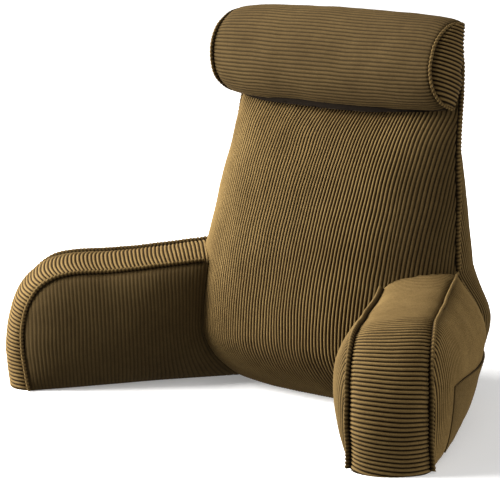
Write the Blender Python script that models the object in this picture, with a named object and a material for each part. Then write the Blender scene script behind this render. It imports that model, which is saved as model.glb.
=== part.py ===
"""Reading pillow with arms, in wide-wale corduroy.

One stuffed cushion (back rest and two splayed arms), a half-round neck bolster
seated on the front of its top, raised seams along the arms, the sides and the
bolster's ends, and a patch pocket on the outside of the right arm.

Right and left are as seen from the front. X points right, Y to the back and
Z up. The panels are drawn with x = 0 in the middle of the back rest; at the
end every piece is moved so that the origin lies on the floor under the middle
of the whole cushion. All sizes are in metres.
"""

import bmesh
import bpy
import numpy as np

# ------------------------------------------------------------------ main sizes

# Back rest, one row for each height. half_width and seam_y place the side seam,
# front_crown and back_crown say how far the stuffing stands out from it.
BACK_COLUMNS = ("height", "half_width", "seam_y", "front_crown", "back_crown")
BACK_ROWS = (
    (0.000, 0.262, 0.060, 0.106, 0.150),
    (0.090, 0.254, 0.064, 0.120, 0.158),
    (0.204, 0.240, 0.076, 0.114, 0.146),
    (0.300, 0.226, 0.096, 0.096, 0.116),
    (0.400, 0.214, 0.115, 0.060, 0.082),
    (0.507, 0.204, 0.134, 0.014, 0.036),
)
CROWN_SPREAD = 2.4          # how flat the middle of a crowned panel is
CROWN_EDGE = 1.7            # how steeply it drops to its seams
BACK_ROUNDNESS = 0.9        # plan of the back panel: 1 is a half ellipse, less is boxier
TOP_ARCH = 0.014            # the top edge stands this much higher in the middle
TOP_EDGE_HOLD = 6           # how late the back panel turns to the arched top edge
CREASE_HOLD = 4             # how soon the front panel leaves the arms' creases

# The front and the back panel are drawn in under the stuffing at the floor.
FRONT_TUCK = 0.076
BACK_TUCK = 0.026
TUCK_HEIGHT = 0.100

# Arms. The inner seam starts on the front panel, the outer one at the side seam.
INNER_START_X = 0.175
INNER_START_Z = 0.192
OUTER_START_Z = 0.204
ARM_DROP = 0.014            # the top of the arm falls this much to its bend
ARM_BEND_LENGTH = 0.105     # the bend over the front, along the arm
ARM_BEND_HEIGHT = 0.123
ARM_BEND_SQUARENESS = {"right": 2.5, "left": 2.9}
ARM_LENGTH = 0.286          # inner seam, in plan
ARM_WIDTH = 0.108           # gusset between the two seams at the front
ARM_SPLAY = {"right": 30.2, "left": 42.4}   # degrees from straight ahead
ARM_TOE_IN = 0.006          # the seams curl in under the front by this much
INNER_CROWN = 0.036
OUTER_CROWN = 0.025
GUSSET_LEVEL = 0.180        # below this height the gusset fills out
GUSSET_CROWN_TOP = 0.009
GUSSET_CROWN_FRONT = 0.030
GUSSET_CROWN_ONSET = 0.7    # below 1 it fills out early on its way down

# Rear edge of the outer arm panel, from the side seam to the floor: steps
# from the seam's corner (outward, back) for each share of the way down.
REAR_SEAM_COLUMNS = ("share_down", "outward", "back")
REAR_SEAM_ROWS = (
    (0.00, 0.000, 0.000),
    (0.36, 0.017, 0.033),
    (0.70, -0.008, 0.044),
    (1.00, -0.027, 0.052),
)

# Neck bolster: a half-round roll, its flat side on the front panel.
BOLSTER_HALF_LENGTH = 0.214
BOLSTER_HALF_HEIGHT = 0.074
BOLSTER_DEPTH = 0.070
BOLSTER_BACK_SWELL = 0.010
BOLSTER_CENTRE_X = 0.003
BOLSTER_CENTRE_Y = 0.121
BOLSTER_CENTRE_Z = 0.498
BOLSTER_LEAN = 22.0         # degrees that its flat side leans back
BOLSTER_FRONT_ROUNDNESS = 0.85   # section: 1 is an ellipse, less is fuller
BOLSTER_BACK_ROUNDNESS = 0.5
BOLSTER_END_SCALE = 0.83    # its ends are drawn in to their seams
BOLSTER_END_DEPTH_SHARE = 0.3    # its depth is drawn in less than its height
BOLSTER_TAPER = 3           # how late along its length the drawing in starts
BOLSTER_END_DOME = 0.018
BOLSTER_SEAT_SHARE = 0.86   # it beds on this share of the panel's width
BOLSTER_BED_SINK = 0.0055   # it sinks back this far towards the panel behind that bed
BOLSTER_BED_STEP = 0.010
BOLSTER_TOP_RELIEF = 0.015  # height over which it eases off the top edge's raised seam
BOLSTER_TOP_EASE = 0.0106   # and how far
BOLSTER_OVERHANG = 0.35     # above that seam it leans back over the top edge by this slope

# Raised seams: a narrow folded edge that stands up from the join.
WELT_HEIGHT = 0.0085
WELT_THICKNESS = 0.0048
WELT_SHOULDER = 0.8         # it keeps its thickness up to this share of its height
BACK_WELT_TILT = 0.5        # the back rest's raised seam leans to the rear at its sides
BACK_WELT_UPRIGHT = 0.05    # it rights itself over this height below the top edge
REAR_WELT_HEIGHT = 0.0040
REAR_WELT_TILT = 0.4
BOLSTER_WELT_HEIGHT = 0.0060
BOLSTER_WELT_REAR_SHARE = 0.35   # it is pressed flat behind the bolster
WELT_LIFT = 0.0009          # its foot clears the panels by this much
WELT_START = 0.5            # it stops short of the panel it runs up to
WELT_END = 0.6              # and short of the floor, in shares of one step

# Patch pocket, in shares of the right outer arm panel.
POCKET_THICKNESS = 0.0025
POCKET_COLUMNS_FROM_REAR = (1, 12)
POCKET_ROWS_FROM_FLOOR = (1, 6)

GAP = 0.0004                # air between sewn pieces

# Middle of the whole cushion, in the drawing's own x and y.
MIDDLE_X = -0.0176
MIDDLE_Y = -0.0193

# Mesh steps.
STEPS_ARM_TOP = 15
STEPS_ARM_FRONT = 12
STEPS_GUSSET = 8
STEPS_BACK_SIDE = 18
STEPS_FRONT = 18
STEPS_BOLSTER_ROUND = 32
STEPS_BOLSTER_LONG = 18
STEPS_BOLSTER_DOME = 3
BOLSTER_END_CROWDING = 0.35      # the rings crowd together towards its ends
WELD_DISTANCE = 1e-6
SHARP_ANGLE = np.radians(40)

SIDES = {"right": 1.0, "left": -1.0}


# --------------------------------------------------------------- small helpers

def through(stations, values, where):
    """Smooth curve through a few stations (cubic, with averaged slopes)."""
    stations = np.asarray(stations, float)
    values = np.asarray(values, float)
    where = np.clip(np.asarray(where, float), stations[0], stations[-1])
    slopes = np.gradient(values, stations)
    index = np.clip(np.searchsorted(stations, where) - 1, 0, len(stations) - 2)
    span = stations[index + 1] - stations[index]
    t = (where - stations[index]) / span
    start = (1 + 2 * t) * (1 - t) ** 2 * values[index]
    start_slope = t * (1 - t) ** 2 * span * slopes[index]
    end = t ** 2 * (3 - 2 * t) * values[index + 1]
    end_slope = t ** 2 * (t - 1) * span * slopes[index + 1]
    return start + start_slope + end + end_slope


def column(name, names=BACK_COLUMNS, rows=BACK_ROWS):
    """One named column of a table."""
    return [row[names.index(name)] for row in rows]


def back_value(name, z):
    """A value of the back rest's table at height z."""
    return through(column("height"), column(name), z)


def crown(share):
    """Crown of a panel, 1 in the middle and 0 at its seams (share -1 to 1)."""
    share = np.clip(np.abs(share), 0.0, 1.0)
    return (1.0 - share ** CROWN_SPREAD) ** (1.0 / CROWN_EDGE)


def tuck(z):
    """Share of a panel's drawing in at height z, 1 at the floor."""
    return np.clip(1.0 - z / TUCK_HEIGHT, 0.0, 1.0) ** 2


def front_y(x, z):
    """Depth of the front panel at (x, z)."""
    share = x / back_value("half_width", z)
    stuffing = back_value("front_crown", z) * crown(share)
    return back_value("seam_y", z) - stuffing + FRONT_TUCK * tuck(z)


def lerp(a, b, t):
    """From a to b by the share t."""
    return a + (b - a) * t


def unit(vectors):
    """Vectors scaled to length 1."""
    return vectors / np.linalg.norm(vectors, axis=-1, keepdims=True)


def blend(left, right, bottom, top):
    """Coons patch of four edge polylines, as a (rows, columns, 3) grid."""
    rows, columns = len(left), len(bottom)
    v = np.linspace(0, 1, rows)[:, None, None]
    u = np.linspace(0, 1, columns)[None, :, None]
    across = lerp(left[:, None, :], right[:, None, :], u)
    upward = lerp(bottom[None, :, :], top[None, :, :], v)
    corners = lerp(lerp(bottom[0], bottom[-1], u), lerp(top[0], top[-1], u), v)
    return across + upward - corners


def puff(rows, columns):
    """Crown over a grid, 0 along its four edges."""
    v = np.linspace(-1, 1, rows)[:, None]
    u = np.linspace(-1, 1, columns)[None, :]
    return (crown(u) * crown(v))[:, :, None]


# --------------------------------------------------------------------- seams

def side_corner(sign, z):
    """Point of the side seam at height z."""
    x = sign * back_value("half_width", z)
    return np.stack([x, back_value("seam_y", z), z], axis=-1)


def arm_frame(side):
    """Directions along the arm and across it, outward."""
    sign = SIDES[side]
    splay = np.radians(ARM_SPLAY[side])
    along = np.array([sign * np.sin(splay), -np.cos(splay), 0.0])
    across = np.array([sign * np.cos(splay), np.sin(splay), 0.0])
    return along, across


def bend_profile(length, height, squareness):
    """Side view of an arm seam: (along, up), over the top and down the front."""
    knee = np.linspace(0.0, 1.0, STEPS_ARM_TOP + 1)
    straight = length - ARM_BEND_LENGTH
    half_bend = 0.5 * np.pi / 2 * ARM_BEND_LENGTH
    distance = knee * (straight + half_bend)
    flat = np.minimum(distance, straight)
    turn_top = np.clip((distance - straight) / half_bend, 0, 1) * np.pi / 4
    down = np.linspace(0.0, 1.0, STEPS_ARM_FRONT + 1)[1:]
    leg = height - ARM_DROP - ARM_BEND_HEIGHT
    half_bend_down = 0.5 * np.pi / 2 * ARM_BEND_HEIGHT
    fall = down * (half_bend_down + leg)
    turn_front = np.pi / 4 * (1 + np.clip(fall / half_bend_down, 0, 1))
    turn = np.concatenate([turn_top, turn_front])
    power = 2.0 / squareness
    swing = np.clip(np.sin(turn), 0, 1) ** power
    lift = np.clip(np.cos(turn), 0, 1) ** power
    along = straight + ARM_BEND_LENGTH * swing
    along[: STEPS_ARM_TOP + 1] = np.where(
        distance < straight, flat, along[: STEPS_ARM_TOP + 1])
    up = height - ARM_DROP - ARM_BEND_HEIGHT * (1 - lift)
    up[: STEPS_ARM_TOP + 1] += ARM_DROP * (1 - flat / straight) ** 2
    beyond = np.clip(fall - half_bend_down, 0, None)
    up[STEPS_ARM_TOP + 1:] -= beyond
    up[-1] = 0.0
    return along - ARM_TOE_IN * tuck(up), up


def arm_seams(side):
    """Inner and outer seam of an arm as polylines from the back to the floor."""
    sign = SIDES[side]
    squareness = ARM_BEND_SQUARENESS[side]
    along, across = arm_frame(side)
    start = np.array([sign * INNER_START_X, 0.0, 0.0])
    start[1] = front_y(start[0], INNER_START_Z)
    run, up = bend_profile(ARM_LENGTH, INNER_START_Z, squareness)
    inner = start + run[:, None] * along
    inner[:, 2] = up
    corner = side_corner(sign, np.array(OUTER_START_Z))
    front_outer = start + ARM_LENGTH * along + ARM_WIDTH * across
    outer_way = front_outer - corner
    outer_way[2] = 0.0
    outer_length = np.linalg.norm(outer_way)
    outer_along = outer_way / outer_length
    run, up = bend_profile(outer_length, OUTER_START_Z, squareness)
    outer = corner + run[:, None] * outer_along
    outer[:, 2] = up
    return inner, outer


def rear_seam(side):
    """Rear edge of the outer arm panel, from the side seam down to the floor."""
    sign = SIDES[side]
    share = np.linspace(0, 1, STEPS_ARM_FRONT + 1)
    names, rows = REAR_SEAM_COLUMNS, REAR_SEAM_ROWS
    way = column("share_down", names, rows)
    outward = through(way, column("outward", names, rows), share)
    back = through(way, column("back", names, rows), share)
    corner = side_corner(sign, np.array(OUTER_START_Z))
    points = np.empty((len(share), 3))
    points[:, 0] = corner[0] + sign * outward
    points[:, 1] = corner[1] + back
    points[:, 2] = OUTER_START_Z * (1 - share)
    return points


# -------------------------------------------------------------------- panels

def strip_outward(side, inner, outer):
    """Unit vectors square to the strip between two seams, away from the stuffing."""
    tangent = np.gradient(0.5 * (inner + outer), axis=0)
    return -SIDES[side] * unit(np.cross(outer - inner, tangent))


def gusset(side, inner, outer):
    """Strip over an arm, from the front panel to the floor: (length, width, 3)."""
    share = np.linspace(0, 1, STEPS_GUSSET + 1)
    grid = lerp(inner[:, None, :], outer[:, None, :], share[None, :, None])
    middle = 0.5 * (inner + outer)
    outward = strip_outward(side, inner, outer)
    over = np.clip((GUSSET_LEVEL - middle[:, 2]) / ARM_BEND_HEIGHT, 0, 1)
    swell = lerp(GUSSET_CROWN_TOP, GUSSET_CROWN_FRONT, over ** GUSSET_CROWN_ONSET)
    swell = swell[:, None] * crown(2 * share - 1)[None, :]
    grid = grid + swell[:, :, None] * outward[:, None, :]
    grid[-1, :, 2] = 0.0
    crease = grid[0].copy()
    crease[1:-1, 1] = front_y(crease[1:-1, 0], crease[1:-1, 2])
    fade = np.linspace(1, 0, STEPS_ARM_TOP + 1)[:, None, None] ** 2
    grid[: STEPS_ARM_TOP + 1] += fade * (crease - grid[0])[None]
    return grid


def arm_panel(rear, seam, swell_way, swell):
    """Inner or outer arm panel. rear runs floor to top, seam top to floor."""
    knee = STEPS_ARM_TOP
    top = seam[: knee + 1]
    front = seam[knee:][::-1]
    share = np.linspace(0, 1, knee + 1)[:, None]
    bottom = lerp(rear[0], front[0], share)
    grid = blend(rear, front, bottom, top)
    return grid + swell * puff(len(rear), knee + 1) * swell_way


def corner_seam(side):
    """Seam between an inner arm panel and the front panel, floor to top."""
    z = np.linspace(0, INNER_START_Z, STEPS_ARM_FRONT + 1)
    x = np.full_like(z, SIDES[side] * INNER_START_X)
    return np.stack([x, front_y(x, z), z], axis=-1)


def front_panel(crease_right, crease_left):
    """Front panel as two grids: between the arms, and above them."""
    z = np.linspace(0, INNER_START_Z, STEPS_ARM_FRONT + 1)[:, None]
    x = np.linspace(-INNER_START_X, INNER_START_X, STEPS_FRONT + 1)[None, :]
    x = np.broadcast_to(x, (len(z), x.shape[1]))
    z = np.broadcast_to(z, x.shape)
    lower = np.stack([x, front_y(x, z), z], axis=-1)
    foot = np.concatenate([crease_left[::-1][:-1], lower[-1], crease_right[1:]])
    rise = np.linspace(0, 1, STEPS_BACK_SIDE + 1)
    height = BACK_ROWS[-1][0]
    side_z = lerp(OUTER_START_Z, height, rise)
    half = back_value("half_width", side_z)
    share = foot[:, 0] / half[0]
    arch = TOP_ARCH * (1 - share ** 2)
    foot_x, foot_z = foot[None, :, 0], foot[None, :, 2]
    spread = share[None, :] * half[:, None]
    settle = (1 - rise[:, None]) ** CREASE_HOLD
    x = lerp(spread, np.broadcast_to(foot_x, spread.shape), settle)
    z = lerp(foot_z, height + arch[None, :], rise[:, None])
    upper = np.stack([x, front_y(x, np.minimum(z, height)), z], axis=-1)
    upper[0] = foot
    upper[:, 0] = side_corner(-1.0, side_z)
    upper[:, -1] = side_corner(1.0, side_z)
    return lower, upper


def back_panel(rear_right, rear_left, top_edge):
    """Panel that wraps the back from side seam to side seam, floor to top."""
    low = len(rear_right)
    rise = np.linspace(0, 1, STEPS_BACK_SIDE + 1)[1:]
    side_z = lerp(OUTER_START_Z, BACK_ROWS[-1][0], rise)
    right = np.concatenate([rear_right[::-1], side_corner(1.0, side_z)])
    left = np.concatenate([rear_left[::-1], side_corner(-1.0, side_z)])
    share = top_edge[:, 0] / top_edge[-1, 0]
    turn = share * np.pi / 2
    u = 0.5 * (1 + np.sin(turn))[None, :, None]
    grid = lerp(left[:, None, :], right[:, None, :], u)
    z = right[:, 2]
    depth = back_value("back_crown", z) - BACK_TUCK * tuck(z)
    depth[:low] -= right[:low, 1] - back_value("seam_y", z[:low])
    grid[:, :, 1] += depth[:, None] * np.cos(turn)[None, :] ** BACK_ROUNDNESS
    lift = np.linspace(0, 1, len(z))[:, None] ** TOP_EDGE_HOLD
    grid += lift[:, :, None] * (top_edge - grid[-1])[None]
    return grid


# ---------------------------------------------------------------- mesh makers

def add_grid(mesh, grid, closed=False):
    """Add a grid of points as quads; closed joins its last column to its first."""
    rows, columns = grid.shape[:2]
    verts = [[mesh.verts.new(point) for point in line] for line in grid]
    last = columns if closed else columns - 1
    for i in range(rows - 1):
        for j in range(last):
            k = (j + 1) % columns
            mesh.faces.new((verts[i][j], verts[i][k], verts[i + 1][k], verts[i + 1][j]))
    return verts


def finish(mesh, name, material):
    """Weld, close, orient and place a bmesh, and link it as a named object."""
    bmesh.ops.remove_doubles(mesh, verts=mesh.verts, dist=WELD_DISTANCE)
    open_edges = [edge for edge in mesh.edges if edge.is_boundary]
    if open_edges:
        bmesh.ops.contextual_create(mesh, geom=open_edges)
    bmesh.ops.triangulate(mesh, faces=mesh.faces)
    bmesh.ops.recalc_face_normals(mesh, faces=mesh.faces)
    bmesh.ops.translate(mesh, verts=mesh.verts, vec=(-MIDDLE_X, -MIDDLE_Y, 0.0))
    data = bpy.data.meshes.new(name)
    mesh.to_mesh(data)
    mesh.free()
    data.shade_smooth()
    data.set_sharp_from_angle(angle=SHARP_ANGLE)
    data.materials.append(material)
    thing = bpy.data.objects.new(name, data)
    bpy.context.collection.objects.link(thing)
    return thing


def cloth(name, colour, roughness=0.95):
    """Corduroy of one shade."""
    material = bpy.data.materials.new(name)
    material.use_nodes = True
    shader = material.node_tree.nodes["Principled BSDF"]
    shader.inputs["Base Color"].default_value = (*colour, 1.0)
    shader.inputs["Roughness"].default_value = roughness
    shader.inputs["Metallic"].default_value = 0.0
    return material


def slope_along(line, closed):
    """Direction of a polyline at each of its points."""
    if closed:
        return unit(np.roll(line, -1, axis=0) - np.roll(line, 1, axis=0))
    return unit(np.gradient(line, axis=0))


def facing(normal, outward):
    """Unit normals turned to the side that outward points to."""
    return unit(normal * np.sign(np.sum(normal * outward, axis=1))[:, None])


def welt(name, seam, one_side, other_side, outward, height, material,
         closed=False, tilt=(0.0, 0.0, 0.0)):
    """Raised seam that stands on the join of two panels.

    seam is the join, one_side and other_side are the next rows of points of the
    two panels, and tilt leans the raised edge over. outward points roughly away
    from the stuffing. It is None where the panels meet in a sharp edge, because
    each of them then lies behind the other.
    """
    tangent = slope_along(seam, closed)
    to_one = unit(one_side - seam)
    to_other = unit(other_side - seam)
    off_one = facing(np.cross(to_one, tangent), -to_other if outward is None else outward)
    off_other = facing(np.cross(to_other, tangent), -to_one if outward is None else outward)
    up = unit(unit(off_one + off_other) + np.array(tilt))
    half = 0.5 * WELT_THICKNESS
    tall = np.broadcast_to(height, len(seam))[:, None]
    wide = to_one - to_other
    wide = unit(wide - np.sum(wide * up, axis=1)[:, None] * up)
    ring = np.stack([
        seam + 2 * WELT_LIFT * up,
        seam + half * to_one + WELT_LIFT * off_one,
        seam + WELT_SHOULDER * tall * up + half * wide,
        seam + tall * up,
        seam + WELT_SHOULDER * tall * up - half * wide,
        seam + half * to_other + WELT_LIFT * off_other,
    ], axis=1)
    mesh = bmesh.new()
    if closed:
        ring = np.concatenate([ring, ring[:1]])
    verts = add_grid(mesh, ring, closed=True)
    if not closed:
        mesh.faces.new(verts[0])
        mesh.faces.new(verts[-1])
    return finish(mesh, name, material)


# --------------------------------------------------------------------- pieces

def cut_panels():
    """Grid of points of every panel of the cushion, by name and side."""
    grids = {}
    rears = {}
    for side in SIDES:
        inner, outer = arm_seams(side)
        along, across = arm_frame(side)
        rear = rear_seam(side)
        grids["gusset", side] = gusset(side, inner, outer)
        grids["inner", side] = arm_panel(
            corner_seam(side), inner, -across, INNER_CROWN)
        grids["outer", side] = arm_panel(
            rear[::-1], outer, across, OUTER_CROWN)
        rears[side] = rear
    lower, upper = front_panel(grids["gusset", "right"][0], grids["gusset", "left"][0])
    grids["lower front"] = lower
    grids["upper front"] = upper
    grids["back"] = back_panel(rears["right"], rears["left"], upper[-1])
    return grids


def build_cushion(grids, material):
    """Back rest and arms in one closed, filled body."""
    mesh = bmesh.new()
    for grid in grids.values():
        add_grid(mesh, grid)
    return finish(mesh, "back_rest_and_arms", material)


def bolster_section(turn, scale):
    """(forward, up) of the bolster's outline, its flat side behind."""
    c, s = np.cos(turn), np.sin(turn)
    swell = BOLSTER_DEPTH * np.abs(c) ** BOLSTER_FRONT_ROUNDNESS
    rear = BOLSTER_BACK_SWELL * np.abs(c) ** BOLSTER_BACK_ROUNDNESS
    forward = np.where(c > 0, swell, -rear)
    return forward * scale ** BOLSTER_END_DEPTH_SHARE, BOLSTER_HALF_HEIGHT * s * scale


def bed_y(x, z):
    """Front of the panel that the bolster beds on, the nearest within a step."""
    reach = BOLSTER_BED_STEP
    nearest = []
    for dx in (-reach, 0.0, reach):
        for dz in (-reach, 0.0, reach):
            level = np.clip(z + dz, 0.0, BACK_ROWS[-1][0])
            half = BOLSTER_SEAT_SHARE * back_value("half_width", level)
            nearest.append(front_y(np.clip(x + dx, -half, half), level))
    return np.min(nearest, axis=0)


def build_bolster(material):
    """Half-round neck roll, domed at its ends. Returns the lines beside its end seams."""
    turn = np.linspace(0, 2 * np.pi, STEPS_BOLSTER_ROUND, endpoint=False)
    way = np.linspace(-1, 1, STEPS_BOLSTER_LONG + 1)
    way = lerp(way, np.sin(way * np.pi / 2), BOLSTER_END_CROWDING)
    scale = lerp(BOLSTER_END_SCALE, 1.0, np.sqrt(1 - np.abs(way) ** BOLSTER_TAPER))
    stations = zip(BOLSTER_CENTRE_X + BOLSTER_HALF_LENGTH * way, scale)
    lean = np.radians(BOLSTER_LEAN)
    mesh = bmesh.new()
    rings = []
    for x, size in stations:
        forward, up = bolster_section(turn, size)
        y = BOLSTER_CENTRE_Y - forward * np.cos(lean) + up * np.sin(lean)
        z = BOLSTER_CENTRE_Z + up * np.cos(lean) + forward * np.sin(lean)
        xs = np.full_like(y, x)
        relief_start = BACK_ROWS[-1][0] - 2 * BOLSTER_TOP_RELIEF
        near_top = np.clip((z - relief_start) / BOLSTER_TOP_RELIEF, 0.0, 1.0)
        top_seam = BACK_ROWS[-1][0] + TOP_ARCH + WELT_HEIGHT
        overhang = BOLSTER_OVERHANG * np.maximum(z - top_seam, 0.0)
        bed = bed_y(xs, z) + BOLSTER_BED_SINK - BOLSTER_TOP_EASE * near_top
        y = np.minimum(y, bed + overhang)
        rings.append(np.stack([xs, y, z], axis=-1))
    rings = np.array(rings)
    add_grid(mesh, rings, closed=True)
    ends = {}
    for side, ring, inside in (("left", rings[0], rings[1]), ("right", rings[-1], rings[-2])):
        sign = SIDES[side]
        centre = ring.mean(axis=0)
        shells = [ring]
        for step in range(1, STEPS_BOLSTER_DOME):
            share = 1 - step / STEPS_BOLSTER_DOME
            shell = lerp(centre, ring, share)
            shell[:, 0] += sign * BOLSTER_END_DOME * crown(share)
            shells.append(shell)
        ends[side] = (inside, ring, shells[1])
        verts = add_grid(mesh, np.array(shells), closed=True)
        tip = mesh.verts.new(centre + np.array([sign * BOLSTER_END_DOME, 0, 0]))
        last = verts[-1]
        for j in range(len(last)):
            mesh.faces.new((last[j], last[(j + 1) % len(last)], tip))
    finish(mesh, "neck_bolster", material)
    return ends


def beside(panel):
    """Row of an arm panel next to its seam, from the back to the floor."""
    return np.concatenate([panel[-2, :-1], panel[-2:-1, -2], panel[:-1, -2][::-1]])


def trimmed(lines, start, end):
    """Cut matching polylines back by a share of their first and last steps."""
    result = []
    for line in lines:
        line = line.copy()
        line[0] = lerp(line[0], line[1], start)
        line[-1] = lerp(line[-1], line[-2], end)
        result.append(line)
    return result


def build_arm_welts(grids, side, material):
    """Raised seams of one arm: inner, outer and rear."""
    across = arm_frame(side)[1]
    strip = grids["gusset", side]
    outward = strip_outward(side, strip[:, 0], strip[:, -1])
    for edge, beside_edge, name, way in ((0, 1, "inner", -across), (-1, -2, "outer", across)):
        panel = grids[name, side]
        lines = trimmed((strip[:, edge], strip[:, beside_edge], beside(panel)),
                        WELT_START, WELT_END)
        welt(name + "_arm_welt_" + side, *lines, outward + way, WELT_HEIGHT, material)
    panel = grids["outer", side][::-1]
    column_beside = 1 if side == "left" else -2
    back = grids["back"][STEPS_ARM_FRONT::-1, column_beside]
    lines = trimmed((panel[:, 0], panel[:, 1], back), WELT_START, WELT_END)
    sideways = np.array([SIDES[side], REAR_WELT_TILT, 0.0])
    welt("rear_arm_welt_" + side, *lines, sideways[None], REAR_WELT_HEIGHT, material)


def build_back_welt(grids, material):
    """Raised seam up one side of the back rest, over its top and down the other."""
    front, back = grids["upper front"], grids["back"][STEPS_ARM_FRONT:]
    seam = np.concatenate([front[:, -1], front[-1, ::-1][1:-1], front[::-1, 0]])
    beside_seam = [
        np.concatenate([grid[:-1, -2], grid[-2, -2:-1], grid[-2, ::-1][1:-1],
                        grid[-2, 1:2], grid[:-1, 1][::-1]])
        for grid in (front, back)]
    below_top = BACK_ROWS[-1][0] - seam[:, 2]
    tilt = np.zeros_like(seam)
    tilt[:, 1] = BACK_WELT_TILT * np.clip(below_top / BACK_WELT_UPRIGHT, 0.0, 1.0)
    lines = [line[1:-1] for line in (seam, *beside_seam)]
    welt("back_rest_welt", *lines, None, WELT_HEIGHT, material, tilt=tilt[1:-1])


def build_bolster_welts(ends, material):
    """Raised seams round the two ends of the bolster."""
    for side, (inside, ring, dome) in ends.items():
        middle = ring.mean(axis=0)
        outward = unit(ring - middle) + np.array([SIDES[side], 0.0, 0.0])
        ahead = (middle[1] - ring[:, 1]) / BOLSTER_DEPTH + 0.5
        ahead = np.clip(ahead, BOLSTER_WELT_REAR_SHARE, 1.0)
        welt("bolster_welt_" + side, ring, inside, dome, outward,
             BOLSTER_WELT_HEIGHT * ahead, material, closed=True)


def build_pocket(grids, material):
    """Patch pocket on the right arm: a doubled sheet with the panel's own shape."""
    first_row, last_row = POCKET_ROWS_FROM_FLOOR
    first, last = POCKET_COLUMNS_FROM_REAR
    panel = grids["outer", "right"]
    normal = np.cross(np.gradient(panel, axis=1), np.gradient(panel, axis=0))
    across = arm_frame("right")[1]
    normal = unit(normal * np.sign(np.sum(normal * across, axis=-1, keepdims=True)))
    cut = (slice(first_row, last_row + 1), slice(first, last + 1))
    inside = panel[cut] + 2 * GAP * normal[cut]
    outside = panel[cut] + (2 * GAP + POCKET_THICKNESS) * normal[cut]
    mesh = bmesh.new()
    add_grid(mesh, inside)
    add_grid(mesh, outside)
    for edge in (np.s_[0, :], np.s_[-1, :], np.s_[:, 0], np.s_[:, -1]):
        add_grid(mesh, np.stack([inside[edge], outside[edge]]))
    return finish(mesh, "side_pocket", material)


def main():
    """Remove what the scene holds and build the reading pillow."""
    for thing in list(bpy.data.objects):
        bpy.data.objects.remove(thing)
    edging = cloth("olive_corduroy_welt", (0.19, 0.14, 0.05))
    grids = cut_panels()
    build_cushion(grids, cloth("olive_corduroy", (0.16, 0.11, 0.035)))
    for side in SIDES:
        build_arm_welts(grids, side, edging)
    build_back_welt(grids, edging)
    build_pocket(grids, cloth("olive_corduroy_pocket", (0.17, 0.12, 0.04)))
    ends = build_bolster(cloth("olive_corduroy_bolster", (0.17, 0.12, 0.04)))
    build_bolster_welts(ends, edging)


main()
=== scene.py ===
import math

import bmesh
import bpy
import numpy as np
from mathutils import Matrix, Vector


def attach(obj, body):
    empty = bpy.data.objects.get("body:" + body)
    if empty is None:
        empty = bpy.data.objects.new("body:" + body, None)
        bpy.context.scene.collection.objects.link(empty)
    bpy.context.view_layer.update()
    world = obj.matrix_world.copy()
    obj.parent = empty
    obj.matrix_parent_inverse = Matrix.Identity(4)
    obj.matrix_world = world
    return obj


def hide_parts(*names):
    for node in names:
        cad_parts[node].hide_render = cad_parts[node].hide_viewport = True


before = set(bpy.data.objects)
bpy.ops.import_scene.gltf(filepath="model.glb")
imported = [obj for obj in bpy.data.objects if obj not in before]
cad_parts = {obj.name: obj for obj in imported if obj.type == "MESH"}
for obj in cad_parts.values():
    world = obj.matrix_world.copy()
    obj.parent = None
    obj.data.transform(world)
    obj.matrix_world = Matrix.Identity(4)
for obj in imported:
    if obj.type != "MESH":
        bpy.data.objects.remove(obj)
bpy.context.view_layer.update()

# %% [markdown]
# # A reading pillow in jumbo corduroy
# The real thing is one stuffed cushion, a back rest with two splayed arms, cut from
# jumbo corduroy, with a half-round neck bolster on the front of its top. The frame gives
# its plain solids. Here each solid is dressed in cloth: panels whose ribs are real
# geometry, raised seams, and a napped, slightly uneven finish. Some values are fitted to
# one photo and are not known of the real cloth. Each of those says so where it stands.


def linked(name, data):
    """New object of the scene from a mesh, lamp or camera."""
    thing = bpy.data.objects.new(name, data)
    bpy.context.collection.objects.link(thing)
    return thing


def from_bmesh(name, mesh):
    """New object from a bmesh, which is freed."""
    data = bpy.data.meshes.new(name)
    mesh.to_mesh(data)
    mesh.free()
    return linked(name, data)


print("solids:", sorted(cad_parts))

# %% [markdown]
# ## The camera
# The view is worked out from the seams that show: a long lens from the front right, a
# little above the cushion, and tipped by under two degrees. It comes first, because
# every size of detail below is chosen by what this camera can see.

# %% Camera
CAMERA_AZIMUTH = 43.39          # degrees round from straight in front
CAMERA_ELEVATION = 11.00
CAMERA_ROLL = -1.69
CAMERA_PLACE = (2.5972, -2.8090, 0.9759)
CAMERA_LENS = 189.8             # millimetres, on a 36 mm wide sensor


def turned_camera(place, azimuth, elevation, roll):
    """World matrix of a camera that looks back along its azimuth and elevation."""
    a, e, r = (math.radians(value) for value in (azimuth, elevation, roll))
    back = Vector((math.sin(a) * math.cos(e), -math.cos(a) * math.cos(e), math.sin(e)))
    right = Vector((0, 0, 1)).cross(back).normalized()
    turn = Matrix((right, back.cross(right), back)).transposed().to_4x4()
    return Matrix.Translation(place) @ turn @ Matrix.Rotation(r, 4, "Z")


camera = linked("camera", bpy.data.cameras.new("camera"))
camera.matrix_world = turned_camera(
    CAMERA_PLACE, CAMERA_AZIMUTH, CAMERA_ELEVATION, CAMERA_ROLL)
camera.data.lens = CAMERA_LENS
camera.data.sensor_width = 36
camera.data.clip_end = 60
bpy.context.scene.camera = camera

# %% [markdown]
# ## The shape of the cushion
# A sewn cushion is ruled by its seams. Each panel hangs between seams and is pushed out
# by the stuffing, most in the middle. The same sizes that made the solids are repeated
# here, so that the cloth lies on them; only the steps are finer. One form is the cloth's
# alone: the valley, a dip of the front panel under the bolster.

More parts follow.
